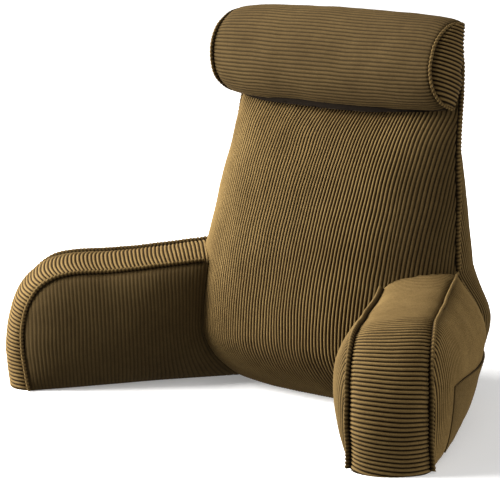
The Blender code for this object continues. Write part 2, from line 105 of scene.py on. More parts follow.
# %% Sizes, in metres
BACK_COLUMNS = ("height", "half_width", "seam_y", "front_crown", "back_crown")
BACK_ROWS = (
    (0.000, 0.262, 0.060, 0.106, 0.150),
    (0.090, 0.254, 0.064, 0.120, 0.158),
    (0.204, 0.240, 0.076, 0.114, 0.146),
    (0.300, 0.226, 0.096, 0.096, 0.116),
    (0.400, 0.214, 0.115, 0.060, 0.082),
    (0.507, 0.204, 0.134, 0.014, 0.036),
)
BACK_TOP = BACK_ROWS[-1][0]
CROWN_SPREAD = 2.4
CROWN_EDGE = 1.7
BACK_ROUNDNESS = 0.9
TOP_ARCH = 0.014
TOP_EDGE_HOLD = 6
CREASE_HOLD = 4
FRONT_TUCK = 0.076
BACK_TUCK = 0.026
TUCK_HEIGHT = 0.100
VALLEY_FOOT = 0.382         # the front panel dips behind the bolster's lower edge
VALLEY_FLOOR = 0.432
VALLEY_TOP = 0.456
VALLEY_DEPTH = 0.018
MIDDLE = np.array([-0.0176, -0.0193, 0.0])     # of the whole cushion, in the drawing
SIDES = {"right": 1.0, "left": -1.0}


def through(stations, values, where):
    """Smooth curve through a few stations (cubic, with averaged slopes)."""
    stations = np.asarray(stations, float)
    values = np.asarray(values, float)
    where = np.clip(np.asarray(where, float), stations[0], stations[-1])
    slopes = np.gradient(values, stations)
    index = np.clip(np.searchsorted(stations, where) - 1, 0, len(stations) - 2)
    span = stations[index + 1] - stations[index]
    t = (where - stations[index]) / span
    start = (1 + 2 * t) * (1 - t) ** 2 * values[index]
    start_slope = t * (1 - t) ** 2 * span * slopes[index]
    end = t ** 2 * (3 - 2 * t) * values[index + 1]
    end_slope = t ** 2 * (t - 1) * span * slopes[index + 1]
    return start + start_slope + end + end_slope


def column(name, names=BACK_COLUMNS, rows=BACK_ROWS):
    """One named column of a table."""
    return [row[names.index(name)] for row in rows]


def back_value(name, z):
    """A value of the back rest's table at height z."""
    return through(column("height"), column(name), z)


def crown(share):
    """Crown of a panel, 1 in the middle and 0 at its seams (share -1 to 1)."""
    share = np.clip(np.abs(share), 0.0, 1.0)
    return (1.0 - share ** CROWN_SPREAD) ** (1.0 / CROWN_EDGE)


def tuck(z):
    """Share of a panel's drawing in at height z, 1 at the floor."""
    return np.clip(1.0 - z / TUCK_HEIGHT, 0.0, 1.0) ** 2


def front_y(x, z):
    """Depth of the front panel at (x, z)."""
    share = x / back_value("half_width", z)
    stuffing = back_value("front_crown", z) * crown(share)
    return back_value("seam_y", z) - stuffing + FRONT_TUCK * tuck(z)


def valley(z):
    """How far the front panel sinks in at height z, under the bolster."""
    down = np.clip((z - VALLEY_FOOT) / (VALLEY_FLOOR - VALLEY_FOOT), 0, 1) ** 2
    up = np.clip((VALLEY_TOP - z) / (VALLEY_TOP - VALLEY_FLOOR), 0, 1)
    return VALLEY_DEPTH * np.minimum(down, up)


def lerp(a, b, t):
    """From a to b by the share t."""
    return a + (b - a) * t


def unit(vectors):
    """Vectors scaled to length 1."""
    length = np.linalg.norm(vectors, axis=-1, keepdims=True)
    return vectors / np.maximum(length, 1e-12)


def run_along(line):
    """Distance along a polyline at each of its points."""
    step = np.linalg.norm(np.diff(line, axis=0), axis=1)
    return np.concatenate([[0.0], np.cumsum(step)])


def at_run(place, run, line):
    """Points of a polyline at distances along it."""
    return np.stack([np.interp(place, run, line[:, axis]) for axis in range(3)], -1)


def runs_across(table):
    """Distance across a table along each row, from its first column."""
    step = np.linalg.norm(np.diff(table, axis=1), axis=2)
    return np.concatenate([np.zeros((len(table), 1)), np.cumsum(step, axis=1)], axis=1)


print("back rest is", 2 * back_value("half_width", 0.3), "m wide at 0.3 m up")

# %% [markdown]
# ## Corduroy, and how its ribs become geometry
# Corduroy is woven with extra threads that are cut and brushed up into rows of pile.
# Here there are 4.4 such ribs, or wales, to the inch. A bump map could draw them, but
# these ribs are wide enough to shade themselves and to break up the outline, so the
# mesh follows them: its columns run along the ribs, five to each rib, and stop at the
# seams as cut cloth does. A small Geometry Nodes tree then raises the pile.

# %% The ribs
RIB_PITCH = 0.0254 / 4.4        # fitted, as all the values down to FRONT_CALM_PAINTED_SHADE are

# Wider ribs may be cloth stretched by the stuffing, or a slip in the shape or the camera.
FRONT_STRETCH = (1.08, 0.98)    # of the front panel's ribs, left and right of its middle
FRONT_STRETCH_FULL = 0.45       # share of the way up where the stretch is full
FRONT_STRETCH_ONSET = 1.5
FRONT_WIDE_AT = 0.205           # place across where the ribs are wider still
FRONT_WIDE_BY = 0.22
FRONT_WIDE_OVER = 0.045
# Across this band on the right of the front panel the ribs are made flatter and the cloth is
# painted darker, as shade.
FRONT_CALM = (0.13, 0.19)       # from here to here across, they go flatter and darker
FRONT_CALM_DEPTH = 0.60
FRONT_CALM_PAINTED_SHADE = 0.50
RIB_STEPS = np.array([0.0, 0.20, 0.40, 0.60, 0.80])      # places across one rib
RIB_PILE = np.array([0.0, 0.55, 1.00, 1.00, 0.55])       # height of the pile there
PILE_HEIGHT = 0.0028
SKIRT = 0.004               # cloth that turns in at a seam


def rib_stations(low, high, pitch=RIB_PITCH):
    """Places from low to high with five to a rib, and the pile's height at each."""
    ribs = np.arange(np.floor(low / pitch), np.ceil(high / pitch) + 1)
    place = (ribs[:, None] + RIB_STEPS[None, :]).ravel() * pitch
    pile = np.tile(RIB_PILE, len(ribs))
    inside = (place > low + 0.1 * pitch) & (place < high - 0.1 * pitch)
    place = np.concatenate([[low], place[inside], [high]])
    pile = np.concatenate([[0.0], pile[inside], [0.0]])
    return place, pile


def comb(table, run, rows):
    """Columns along the ribs over a table of points, cut where the table ends.

    table is (along the ribs, across, 3) and run is the distance across at each of
    its points. Each column goes from where it enters the table to where it leaves.
    """
    place, pile = rib_stations(run[:, 0].min(), run[:, -1].max())
    lines = np.array([at_run(place, *pair) for pair in zip(run, table)])
    inside = np.minimum(run[:, -1:] - place, place - run[:, :1])
    grid = np.empty((rows, len(place), 3))
    for k in range(len(place)):
        within = np.flatnonzero(inside[:, k] >= -1e-9)
        first, last = float(within[0]), float(within[-1])
        if within[0] > 0:
            a, b = inside[within[0] - 1, k], inside[within[0], k]
            first -= b / (b - a)
        if within[-1] < len(table) - 1:
            a, b = inside[within[-1] + 1, k], inside[within[-1], k]
            last += b / (b - a)
        t = np.linspace(first, last, rows)
        low = np.clip(t.astype(int), 0, len(table) - 2)
        grid[:, k] = lerp(lines[low, k], lines[low + 1, k], (t - low)[:, None])
    return grid, pile


def arcs_from(table, middle):
    """Distance across a table along each row, measured from its middle column."""
    run = runs_across(table)
    return run - run[:, middle:middle + 1]


print("ribs are", round(RIB_PITCH * 1000, 2), "mm apart")

# %% [markdown]
# ## Front and back panels
# The front panel is one piece of cloth, but it meets the arms, so it is drawn as a lower
# part between them and an upper part that starts on their creases. Ribs run up it and
# keep their spacing round its crown, as woven cloth must; the slanted side seams cut
# them off. The back panel is made the same way.

# %% Seams of the arms
INNER_START_X = 0.175
INNER_START_Z = 0.192
OUTER_START_Z = 0.204
ARM_DROP = 0.014
ARM_BEND_LENGTH = 0.105
ARM_BEND_HEIGHT = 0.123
ARM_BEND_SQUARENESS = {"right": 2.5, "left": 2.9}
ARM_LENGTH = 0.286
ARM_WIDTH = 0.108
ARM_SPLAY = {"right": 30.2, "left": 42.4}
ARM_TOE_IN = 0.006
INNER_CROWN = 0.036
OUTER_CROWN = 0.025
GUSSET_LEVEL = 0.180
GUSSET_CROWN_TOP = 0.009
GUSSET_CROWN_FRONT = 0.030
GUSSET_CROWN_ONSET = 0.7
REAR_SEAM_COLUMNS = ("share_down", "outward", "back")
REAR_SEAM_ROWS = (
    (0.00, 0.000, 0.000),
    (0.36, 0.017, 0.033),
    (0.70, -0.008, 0.044),
    (1.00, -0.027, 0.052),
)
STEPS_TOP = 90              # of an arm seam, from its start to the middle of its bend
STEPS_FRONT = 80            # from there to the floor


def side_corner(sign, z):
    """Point of the side seam at height z."""
    x = sign * back_value("half_width", z)
    return np.stack([x, back_value("seam_y", z), z], axis=-1)


def arm_frame(side):
    """Directions along the arm and across it, outward."""
    sign = SIDES[side]
    splay = np.radians(ARM_SPLAY[side])
    along = np.array([sign * np.sin(splay), -np.cos(splay), 0.0])
    across = np.array([sign * np.cos(splay), np.sin(splay), 0.0])
    return along, across


def bend_profile(length, height, squareness):
    """Side view of an arm seam: (along, up), over the top and down the front."""
    knee = np.linspace(0.0, 1.0, STEPS_TOP + 1)
    straight = length - ARM_BEND_LENGTH
    half_bend = 0.5 * np.pi / 2 * ARM_BEND_LENGTH
    distance = knee * (straight + half_bend)
    flat = np.minimum(distance, straight)
    turn_top = np.clip((distance - straight) / half_bend, 0, 1) * np.pi / 4
    down = np.linspace(0.0, 1.0, STEPS_FRONT + 1)[1:]
    leg = height - ARM_DROP - ARM_BEND_HEIGHT
    half_bend_down = 0.5 * np.pi / 2 * ARM_BEND_HEIGHT
    fall = down * (half_bend_down + leg)
    turn_front = np.pi / 4 * (1 + np.clip(fall / half_bend_down, 0, 1))
    turn = np.concatenate([turn_top, turn_front])
    power = 2.0 / squareness
    swing = np.clip(np.sin(turn), 0, 1) ** power
    lift = np.clip(np.cos(turn), 0, 1) ** power
    along = straight + ARM_BEND_LENGTH * swing
    along[: STEPS_TOP + 1] = np.where(distance < straight, flat, along[: STEPS_TOP + 1])
    up = height - ARM_DROP - ARM_BEND_HEIGHT * (1 - lift)
    up[: STEPS_TOP + 1] += ARM_DROP * (1 - flat / straight) ** 2
    up[STEPS_TOP + 1:] -= np.clip(fall - half_bend_down, 0, None)
    up[-1] = 0.0
    return along, up


def arm_seam(side, name):
    """Start, direction and profile of an arm's inner or outer seam."""
    sign = SIDES[side]
    along, across = arm_frame(side)
    start = np.array([sign * INNER_START_X, 0.0, 0.0])
    start[1] = front_y(start[0], INNER_START_Z)
    if name == "inner":
        return start, along, bend_profile(
            ARM_LENGTH, INNER_START_Z, ARM_BEND_SQUARENESS[side])
    corner = side_corner(sign, np.array(OUTER_START_Z))
    corner[2] = 0.0
    way = start + ARM_LENGTH * along + ARM_WIDTH * across - corner
    length = np.linalg.norm(way)
    return corner, way / length, bend_profile(
        length, OUTER_START_Z, ARM_BEND_SQUARENESS[side])


def seam_line(side, name):
    """An arm seam as a polyline from the back rest to the floor."""
    start, way, (along, up) = arm_seam(side, name)
    line = start + (along - ARM_TOE_IN * tuck(up))[:, None] * way
    line[:, 2] = up
    return line


def rear_offset(z):
    """How far outward and back the rear seam of an arm stands at height z."""
    share = 1 - z / OUTER_START_Z
    names, rows = REAR_SEAM_COLUMNS, REAR_SEAM_ROWS
    way = column("share_down", names, rows)
    outward = through(way, column("outward", names, rows), share)
    return outward, through(way, column("back", names, rows), share)


print("inner seam of the left arm:", round(run_along(seam_line("left", "inner"))[-1], 3), "m")

# %% Strips over the arms
STEPS_ACROSS = 24           # of a strip, from its inner to its outer seam


def strip_table(side):
    """Strip over an arm as (along, across, 3), and its outward directions."""
    inner, outer = seam_line(side, "inner"), seam_line(side, "outer")
    share = np.linspace(0, 1, STEPS_ACROSS + 1)
    table = lerp(inner[:, None, :], outer[:, None, :], share[None, :, None])
    middle = 0.5 * (inner + outer)
    outward = -SIDES[side] * unit(np.cross(outer - inner, np.gradient(middle, axis=0)))
    over = np.clip((GUSSET_LEVEL - middle[:, 2]) / ARM_BEND_HEIGHT, 0, 1)
    swell = lerp(GUSSET_CROWN_TOP, GUSSET_CROWN_FRONT, over ** GUSSET_CROWN_ONSET)
    swell = swell[:, None] * crown(2 * share - 1)[None, :]
    table = table + swell[:, :, None] * outward[:, None, :]
    table[-1, :, 2] = 0.0
    crease = table[0].copy()
    crease[1:-1, 1] = front_y(crease[1:-1, 0], crease[1:-1, 2])
    fade = np.linspace(1, 0, STEPS_TOP + 1)[:, None, None] ** 2
    table[: STEPS_TOP + 1] += fade * (crease - table[0])[None]
    return table, outward


STRIPS = {side: strip_table(side) for side in SIDES}

# %% Front panel and back panel as tables of points
STEPS_UP = 120              # rows of a table, along the ribs
STEPS_LOW = 60
STEPS_WIDE = 160            # columns of a table, across the ribs


def front_tables():
    """Front panel between the arms, and above them, as (up, across, 3)."""
    z = np.linspace(0, INNER_START_Z, STEPS_LOW + 1)[:, None]
    x = np.linspace(-INNER_START_X, INNER_START_X, STEPS_WIDE + 1)[None, :]
    x = np.broadcast_to(x, (len(z), x.shape[1]))
    z = np.broadcast_to(z, x.shape)
    lower = np.stack([x, front_y(x, z), z], axis=-1)
    crease_right, crease_left = STRIPS["right"][0][0], STRIPS["left"][0][0]
    foot = np.concatenate([crease_left[::-1][:-1], lower[-1], crease_right[1:]])
    rise = np.linspace(0, 1, STEPS_UP + 1)
    side_z = lerp(OUTER_START_Z, BACK_TOP, rise)
    half = back_value("half_width", side_z)
    share = foot[:, 0] / half[0]
    arch = TOP_ARCH * (1 - share ** 2)
    spread = share[None, :] * half[:, None]
    settle = (1 - rise[:, None]) ** CREASE_HOLD
    x = lerp(spread, np.broadcast_to(foot[None, :, 0], spread.shape), settle)
    z = lerp(foot[None, :, 2], BACK_TOP + arch[None, :], rise[:, None])
    upper = np.stack([x, front_y(x, np.minimum(z, BACK_TOP)), z], axis=-1)
    upper[..., 1] += valley(z) * crown(share)
    upper[0] = foot
    upper[:, 0] = side_corner(-1.0, side_z)
    upper[:, -1] = side_corner(1.0, side_z)
    return lower, upper


def back_table(top_edge):
    """Panel that wraps the back, floor to top, as (up, across, 3)."""
    low_z = np.linspace(0, OUTER_START_Z, STEPS_LOW + 1)
    high_z = np.linspace(OUTER_START_Z, BACK_TOP, STEPS_UP + 1)[1:]
    z = np.concatenate([low_z, high_z])
    outward, back = rear_offset(np.minimum(z, OUTER_START_Z))
    corner = side_corner(1.0, np.array(OUTER_START_Z))
    is_low = z <= OUTER_START_Z
    half = np.where(is_low, corner[0] + outward, back_value("half_width", z))
    side_y = np.where(is_low, corner[1] + back, back_value("seam_y", z))
    depth = back_value("seam_y", z) + back_value("back_crown", z) - BACK_TUCK * tuck(z)
    turn = top_edge[:, 0] / top_edge[-1, 0] * np.pi / 2
    x = half[:, None] * np.sin(turn)[None, :]
    roundness = np.clip(np.cos(turn), 0, 1)[None, :] ** BACK_ROUNDNESS
    y = side_y[:, None] + (depth - side_y)[:, None] * roundness
    grid = np.stack([x, y, np.broadcast_to(z[:, None], x.shape)], axis=-1)
    lift = np.linspace(0, 1, len(z))[:, None, None] ** TOP_EDGE_HOLD
    return grid + lift * (top_edge - grid[-1])[None]


FRONT_LOW, FRONT_HIGH = front_tables()
BACK = back_table(FRONT_HIGH[-1])
print("tables:", FRONT_LOW.shape, FRONT_HIGH.shape, BACK.shape)

# %% [markdown]
# ## Side panels of the arms
# Inside and outside, an arm has an upright panel whose ribs run up. Its top follows the
# arm's seam, so each column is as tall as the seam is high at that place. The panel's
# rear edge is bent, by the crown of the front panel inside and by the rear seam outside.

# %% Side panels
REAR_FADE = 0.10            # over this length the inner ribs straighten from the rear seam


class SidePanel:
    """Inner or outer panel of an arm, as a surface over (along, up)."""

    def __init__(self, side, name):
        self.side, self.name = side, name
        self.start, self.way, (self.along, self.up) = arm_seam(side, name)
        self.across = arm_frame(side)[1]
        self.length = self.along[-1]
        self.swell_way = self.across if name == "outer" else -self.across
        self.swell = OUTER_CROWN if name == "outer" else INNER_CROWN
        z = np.linspace(0, self.up[0], 200)
        offset = self.rear_vectors(z)
        square = np.array([-self.way[1], self.way[0]])
        self.rear_z = z
        self.rear_along = offset @ self.way[:2]
        self.rear_across = offset @ square
        self.square = np.array([*square, 0.0])

    def rear_vectors(self, z):
        """Rear edge relative to the panel's start, in plan."""
        sign = SIDES[self.side]
        if self.name == "outer":
            outward, back = rear_offset(z)
            return np.stack([sign * outward, back], axis=1)
        x = sign * INNER_START_X
        y = front_y(x, z) - front_y(x, INNER_START_Z)
        return np.stack([0 * y, y], axis=1)

    def place(self, s, z):
        """Point of the panel s along its seam and z up, on its crown."""
        rear = np.interp(z, self.rear_z, self.rear_along)
        aside = np.interp(z, self.rear_z, self.rear_across)
        toe = ARM_TOE_IN * tuck(z) * np.clip(s / self.length, 0, 1) ** 8
        if self.name == "inner":
            fade = np.clip(1 - s / REAR_FADE, 0, 1) ** 2
            share = s / self.length
            s = s + rear * fade - toe
        else:
            share = (s - rear) / (self.length - rear)
            s = s - toe
        top = np.maximum(self.top(s), 1e-4)
        swell = self.swell * crown(2 * share - 1) * crown(2 * np.clip(z / top, 0, 1) - 1)
        aside = aside * np.clip(1 - share, 0, 1)
        point = (self.start + s[..., None] * self.way + aside[..., None] * self.square
                 + swell[..., None] * self.swell_way)
        point[..., 2] = z
        return point

    def top(self, s):
        """Height of the panel's upper edge s along."""
        over = np.interp(s, self.along, self.up)
        rear = np.interp(s, self.rear_along, self.rear_z)
        return np.where(s < 0, rear, over) if self.name == "outer" else over

    def columns(self, rows):
        """Grid of points whose columns follow the ribs, and the pile's height."""
        low = self.rear_along[0] if self.name == "outer" else 0.0
        s, pile = rib_stations(low, self.length)
        z = np.linspace(0, 1, rows)[:, None] * self.top(s)[None, :]
        return self.place(np.broadcast_to(s, z.shape), z), pile


PANELS = {(side, name): SidePanel(side, name) for side in SIDES for name in ("inner", "outer")}
print("arm panels:", sorted("_".join(key) for key in PANELS))

# %% [markdown]
# ## Sewing the cover together
# Every grid becomes quads. At a seam the cloth turns in by a few millimetres, like a
# seam allowance, so that no gap opens between two panels whose ribs don't line up.

# %% Cloth from grids
COLUMN_ROWS = {"lower front": 22, "upper front": 42, "back": 52, "side panel": 22,
               "strip": 14}


def surface_out(grid, outward):
    """Unit normals of a grid, on the side that outward points to."""
    normal = np.cross(np.gradient(grid, axis=1), np.gradient(grid, axis=0))
    normal = unit(normal)
    flip = np.sign(np.sum(normal * outward, axis=-1, keepdims=True))
    return normal * np.where(flip == 0, 1, flip)


class Cloth:
    """Collects grids of points into one mesh, with the pile's height at each point."""

    def __init__(self):
        self.points, self.pile, self.out, self.faces, self.nap_and_painted_light = [], [], [], [], []
        self.count = 0

    def add(self, grid, pile, out, skirts="all", nap_and_painted_light=1.0, depth=1.0):
        """One panel. skirts names the edges that turn in.

        The argument after skirts multiplies its colour, partly for the lie of the pile and
        mostly as painted light and shade; depth sets how deep the gaps between its ribs are, and
        so how much painted shade lies in them.
        """
        pile = 1 - depth * (1 - np.broadcast_to(pile, grid.shape[:2]))
        for edge, axis, index in (("bottom", 0, 0), ("top", 0, -1),
                                  ("left", 1, 0), ("right", 1, -1)):
            if skirts == "all" or edge in skirts:
                grid, pile, out = self.turned_in(grid, pile, out, axis, index)
        rows, columns = pile.shape
        index = self.count + np.arange(rows * columns).reshape(rows, columns)
        quads = np.stack([index[:-1, :-1], index[:-1, 1:], index[1:, 1:], index[1:, :-1]], -1)
        first = quads[(rows - 1) // 2, (columns - 1) // 2] - self.count
        corner = grid.reshape(-1, 3)[first]
        facing = np.cross(corner[1] - corner[0], corner[3] - corner[0])
        if facing @ out.reshape(-1, 3)[first[0]] < 0:
            quads = quads[..., ::-1]
        self.points.append(grid.reshape(-1, 3))
        self.pile.append(pile.ravel())
        self.out.append(out.reshape(-1, 3))
        self.faces.append(quads.reshape(-1, 4))
        nap_and_painted_light = np.atleast_1d(nap_and_painted_light)
        across = np.interp(np.linspace(0, 1, columns), np.linspace(0, 1, len(nap_and_painted_light)), nap_and_painted_light)
        self.nap_and_painted_light.append(np.tile(across, rows))
        self.count += rows * columns

    @staticmethod
    def turned_in(grid, pile, out, axis, index):
        """Adds one more line of points outside an edge, turned into the stuffing."""
        edge = np.take(grid, [index], axis=axis)
        edge_out = np.take(out, [index], axis=axis)
        more = edge - SKIRT * edge_out
        # The turned-in edge has no pile, so it takes the painted shade colour of the gaps
        # between ribs.
        flat = np.zeros_like(np.take(pile, [index], axis=axis))
        parts = [(more, grid), (flat, pile), (edge_out, out)]
        if index == -1:
            parts = [pair[::-1] for pair in parts]
        return tuple(np.concatenate(pair, axis=axis) for pair in parts)

    def build(self, name):
        """The mesh as an object, with attributes pile and out, and the colour factor of painted
        light and shade.
        """
        points = np.concatenate(self.points) - MIDDLE
        faces = np.concatenate(self.faces)
        mesh = bpy.data.meshes.new(name)
        mesh.from_pydata(points.tolist(), [], faces.tolist())
        for label, values in (("pile", self.pile), ("nap_and_painted_light", self.nap_and_painted_light)):
            mesh.attributes.new(label, "FLOAT", "POINT").data.foreach_set(
                "value", np.concatenate(values).astype(np.float32))
        mesh.attributes.new("out", "FLOAT_VECTOR", "POINT").data.foreach_set(
            "vector", np.concatenate(self.out).astype(np.float32).ravel())
        return linked(name, mesh)


# %% [markdown]
# ## The cover, and two tables fitted to one photo
# All panels go into one cover. One table multiplies the colour of each panel, and the
# other sets how deep the gaps between its ribs are, and so how much painted shade lies in
# them. Both were fitted panel by panel to one photo, after the lights. The lie of the pile
# does change how bright corduroy looks, but this is one cloth and nothing shows that its
# panels differ so much. Most of the colour table is painted light and shade, kept in the
# finish, so in other light the arms look uneven. That table and the front's painted shade at 1
# take that out. The left arm's outside and the back are guesses.

# %% The cover of the back rest and arms
RIB_LEAN = {"right": -0.009, "left": 0.012}     # of a strip's ribs from seam to seam, fitted
# Colour factor of each panel: partly the lie of the pile, mostly painted shade below 1 and
# painted light above 1.
NAP_AND_PAINTED_LIGHT = {"back": 0.75, "left inner": 0.33, "right inner": 0.80, "left outer": 1.1,
       "right outer": 1.35, "bolster": 0.42}
# Depth of the gaps between ribs, which also sets how much painted shade lies in them.
DEPTH = {"left inner": 0.35, "right inner": 0.7, "strip": 0.8, "bolster": 0.5}


def strip_runs(side, table):
    """Distance along a strip at each point: its ribs lie square to the arm on top."""
    along = arm_frame(side)[0]
    run = runs_across(table)
    start = (table[:, 0] - table[0, 0]) @ along
    end = run[0, -1] + RIB_LEAN[side] * np.linspace(0, 1, len(table))
    return start[:, None] + run / run[:, -1:] * (end - start)[:, None]


def front_runs(table, low):
    """Distance across the front panel at each point, with its fitted stretch."""
    run = arcs_from(table, table.shape[1] // 2)
    if low:
        run = run * (run[-1:, -1:] / run[:, -1:])
    else:
        rise = np.linspace(0, 1, len(run))[:, None]
        ramp = np.clip(rise / FRONT_STRETCH_FULL, 0, 1) ** FRONT_STRETCH_ONSET
        run = run / lerp(1.0, np.where(run < 0, *FRONT_STRETCH), ramp)
    place = np.linspace(-0.5, 0.5, 1001)
    wide = 1 + FRONT_WIDE_BY * np.exp(-((place - FRONT_WIDE_AT) / FRONT_WIDE_OVER) ** 2)
    even = np.cumsum(1 / wide) * (place[1] - place[0])
    return np.interp(run, place, even - even[500])


def front_panel(cloth, table, low, rows, skirts):
    """One of the two parts of the front panel, flatter where it turns to the right and painted
    darker there as shade.
    """
    run = front_runs(table, low)
    grid, pile = comb(table, run, rows)
    place = rib_stations(run[:, 0].min(), run[:, -1].max())[0]
    calm_shade = np.clip((place - FRONT_CALM[0]) / (FRONT_CALM[1] - FRONT_CALM[0]), 0, 1)
    pile = 1 - lerp(1.0, FRONT_CALM_DEPTH, calm_shade) * (1 - pile)
    out = surface_out(grid, np.array([0, -1, 0.2]))
    # The right of the front panel is painted darker, as shade.
    cloth.add(grid, pile, out, skirts, lerp(1.0, FRONT_CALM_PAINTED_SHADE, calm_shade))


def cover_cloth():
    """All panels of the big cushion."""
    cloth = Cloth()
    backward = np.array([0, 1, 0.1])
    front_panel(cloth, FRONT_LOW, True, COLUMN_ROWS["lower front"], ("left", "right"))
    front_panel(cloth, FRONT_HIGH, False, COLUMN_ROWS["upper front"],
                ("top", "left", "right"))
    middle = BACK.shape[1] // 2
    grid, pile = comb(BACK, arcs_from(BACK, middle), COLUMN_ROWS["back"])
    cloth.add(grid, pile, surface_out(grid, backward), ("top", "left", "right"), NAP_AND_PAINTED_LIGHT["back"])
    for (side, name), panel in PANELS.items():
        grid, pile = panel.columns(COLUMN_ROWS["side panel"])
        cloth.add(grid, pile, surface_out(grid, panel.swell_way), ("top", "left", "right"),
                  NAP_AND_PAINTED_LIGHT[side + " " + name], DEPTH.get(side + " " + name, 1.0))
    for side, (table, outward) in STRIPS.items():
        table = table.transpose(1, 0, 2)
        grid, pile = comb(table, strip_runs(side, table), COLUMN_ROWS["strip"])
        middle = grid.mean(axis=0)
        near = np.linalg.norm(table[STEPS_ACROSS // 2][:, None] - middle[None], axis=-1)
        hint = outward[near.argmin(axis=0)]
        cloth.add(grid, pile, surface_out(grid, hint[None]), ("bottom", "top", "left"),
                  depth=DEPTH["strip"])
    return cloth


cover = cover_cloth().build("back_rest_and_arms_cover")
print("cover:", len(cover.data.polygons), "quads")

# %% [markdown]
# ## The underside
# Nobody sees it when the pillow stands, but the cover is closed there too: one flat
# piece of plain cloth within the lower edges of all the panels.

# %% Underside
BASE_LEVEL = 0.0003         # a hair's breadth above the floor
BASE_STEPS = 40             # points along each arm panel's lower edge
SAME_POINT = 1e-4


def floor_outline():
    """Lower edge of the whole cushion, once round."""
    def foot(line):
        return line[::4]

    z = np.zeros(BASE_STEPS)
    parts = [foot(FRONT_LOW[0])]
    for side in ("right", "left"):
        inner, outer = PANELS[side, "inner"], PANELS[side, "outer"]
        s_in = np.linspace(0, inner.length, BASE_STEPS)
        s_out = np.linspace(outer.length, outer.rear_along[0], BASE_STEPS)
        part = [inner.place(s_in, z), STRIPS[side][0][-1], outer.place(s_out, z)]
        if side == "left":
            part = [line[::-1] for line in part[::-1]]
        parts += part
        if side == "right":
            parts.append(foot(BACK[0][::-1]))
    loop = np.concatenate(parts)
    keep = np.linalg.norm(loop - np.roll(loop, 1, axis=0), axis=1) > SAME_POINT
    return loop[keep]


def underside(name):
    """Flat closed base."""
    outline = floor_outline()
    outline[:, 2] = BASE_LEVEL
    mesh = bmesh.new()
    verts = [mesh.verts.new(point) for point in outline - MIDDLE]
    face = mesh.faces.new(verts)
    if face.normal.z > 0:
        face.normal_flip()
    bmesh.ops.triangulate(mesh, faces=[face])
    return from_bmesh(name, mesh)


base = underside("underside")
print("underside:", len(base.data.polygons), "triangles")

# %% [markdown]
# ## The neck bolster
# A half-round roll lies with its flat side on the front panel. Its ribs run along it and
# draw together a little at its ends. Each end is a half-round cap of its own, whose ribs
# run from the flat side to the round one.

# %% Sizes of the bolster
BOLSTER_HALF_LENGTH = 0.214
BOLSTER_HALF_HEIGHT = 0.074
BOLSTER_DEPTH = 0.070
BOLSTER_BACK_SWELL = 0.010
BOLSTER_CENTRE = (0.003, 0.121, 0.498)
BOLSTER_LEAN = math.radians(22.0)
BOLSTER_FRONT_ROUNDNESS = 0.85
BOLSTER_BACK_ROUNDNESS = 0.5
BOLSTER_END_SCALE = 0.83
BOLSTER_END_DEPTH_SHARE = 0.3
BOLSTER_TAPER = 3
BOLSTER_END_DOME = 0.018
BOLSTER_SEAT_SHARE = 0.86
BOLSTER_BED_SINK = 0.0055
BOLSTER_BED_STEP = 0.010
BOLSTER_TOP_RELIEF = 0.015
BOLSTER_TOP_EASE = 0.0106
BOLSTER_OVERHANG = 0.35
TOP_SEAM = BACK_TOP + TOP_ARCH + 0.0085


def bed_y(x, z):
    """Front of the panel that the bolster beds on, the nearest within a step."""
    nearest = []
    for dx in (-BOLSTER_BED_STEP, 0.0, BOLSTER_BED_STEP):
        for dz in (-BOLSTER_BED_STEP, 0.0, BOLSTER_BED_STEP):
            level = np.clip(z + dz, 0.0, BACK_TOP)
            half = BOLSTER_SEAT_SHARE * back_value("half_width", level)
            nearest.append(front_y(np.clip(x + dx, -half, half), level))
    return np.min(nearest, axis=0)


def bolster_ring(turn, way):
    """Points round the bolster at way, -1 to 1 along it."""
    scale = lerp(BOLSTER_END_SCALE, 1.0, math.sqrt(max(1 - abs(way) ** BOLSTER_TAPER, 0)))
    c, s = np.cos(turn), np.sin(turn)
    swell = BOLSTER_DEPTH * np.abs(c) ** BOLSTER_FRONT_ROUNDNESS
    rear = BOLSTER_BACK_SWELL * np.abs(c) ** BOLSTER_BACK_ROUNDNESS
    forward = np.where(c > 0, swell, -rear) * scale ** BOLSTER_END_DEPTH_SHARE
    up = BOLSTER_HALF_HEIGHT * s * scale
    x = np.full_like(up, BOLSTER_CENTRE[0] + BOLSTER_HALF_LENGTH * way)
    y = BOLSTER_CENTRE[1] - forward * math.cos(BOLSTER_LEAN) + up * math.sin(BOLSTER_LEAN)
    z = BOLSTER_CENTRE[2] + up * math.cos(BOLSTER_LEAN) + forward * math.sin(BOLSTER_LEAN)
    near_top = np.clip((z - BACK_TOP + 2 * BOLSTER_TOP_RELIEF) / BOLSTER_TOP_RELIEF, 0, 1)
    overhang = BOLSTER_OVERHANG * np.maximum(z - TOP_SEAM, 0.0)
    bed = bed_y(x, z) + BOLSTER_BED_SINK - BOLSTER_TOP_EASE * near_top
    y = np.minimum(y, bed + overhang)
    return np.stack([x, y, z], axis=-1)


# %% The bolster's cloth
BOLSTER_ROWS = 56
BOLSTER_RIB_STRETCH = 1.06              # fitted
# On the bolster's underside near its bed the pile is laid flat and painted in the dark colour
# between ribs, a painted shadow under the bolster.
BOLSTER_FLAT_SHADOW = -1.0                  # pile where the flat side is pressed on its bed,
BOLSTER_FLAT_SHADOW_TURN = (1.3, 1.53)      # from here to here round it, in half turns
CAP_ROWS = 14
BOLSTER_TURN = np.linspace(0, 2 * np.pi, 721)


def evenly_round(ring):
    """Stations round a ring, a whole number of ribs, as shares of its length."""
    run = run_along(ring)
    ribs = round(run[-1] / (RIB_PITCH * BOLSTER_RIB_STRETCH))
    place = (np.arange(ribs)[:, None] + RIB_STEPS[None, :]).ravel() / ribs
    return np.append(place, 1.0), np.append(np.tile(RIB_PILE, ribs), 0.0)


